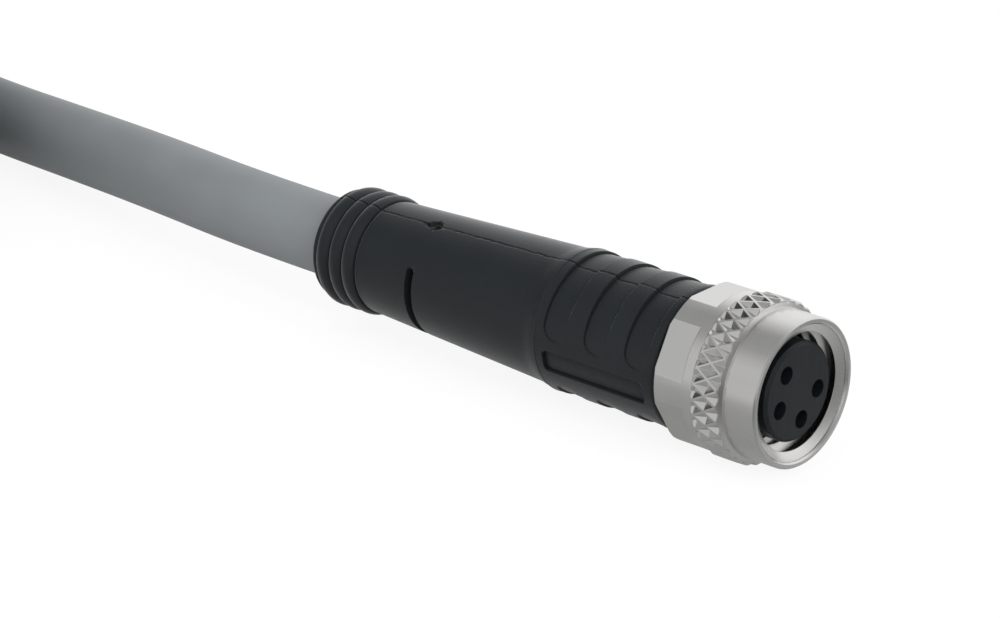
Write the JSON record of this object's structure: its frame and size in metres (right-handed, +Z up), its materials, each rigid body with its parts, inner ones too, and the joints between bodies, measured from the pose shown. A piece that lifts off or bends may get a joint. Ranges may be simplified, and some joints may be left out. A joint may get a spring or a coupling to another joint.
{
  "type": "sensor cable with circular socket connector",
  "caption": "Grey sensor cable with a straight moulded circular socket connector: knurled and hexed metal coupling nut, black ribbed grip, coiled cable with a stripped far end.",
  "frame": {"origin": "under the middle of the connector, on the surface that its coupling nut lies on", "axes": "+X along the connector's axis towards its nose, +Z up; the cable leaves towards -X"},
  "size_m": [0.1306, 0.0702, 0.015],
  "materials": {
    "nut_metal": "brushed, with bright edges",
    "insert_plastic": "matte",
    "seal_rubber": "matte",
    "inner_plastic": "matte",
    "grip_plastic": "satin with a fine grain",
    "cable_jacket": "satin",
    "contact_metal": "plated, bright",
    "tie_band": "satin",
    "core_brown": "satin",
    "core_white": "satin",
    "core_blue": "satin",
    "core_black": "satin",
    "conductor_tin": "tinned strands"
  },
  "bodies": {
    "connector": {"contact_carrier": "insert_plastic", "seal_ring": "seal_rubber", "inner_moulding": "inner_plastic", "grip_body": "grip_plastic", "moulded_in_cable": "cable_jacket", "contact_1": "contact_metal", "core_brown": "core_brown", "contact_2": "contact_metal", "core_white": "core_white", "contact_3": "contact_metal", "core_blue": "core_blue", "contact_4": "contact_metal", "core_black": "core_black", "cable_run": "cable_jacket", "cable_coil": "cable_jacket", "coil_tie": "tie_band", "end_core_brown": "core_brown", "end_tip_brown": "conductor_tin", "end_core_white": "core_white", "end_tip_white": "conductor_tin", "end_core_blue": "core_blue", "end_tip_blue": "conductor_tin", "end_core_black": "core_black", "end_tip_black": "conductor_tin"},
    "coupling_nut": {"coupling_nut": "nut_metal"}
  },
  "joints": [
    {"name": "coupling_nut_turn", "type": "hinge", "parent": "connector", "child": "coupling_nut", "pos_m": [0.01435, 0, 0.00495], "axis": [1, 0, 0], "continuous": true}
  ]
}
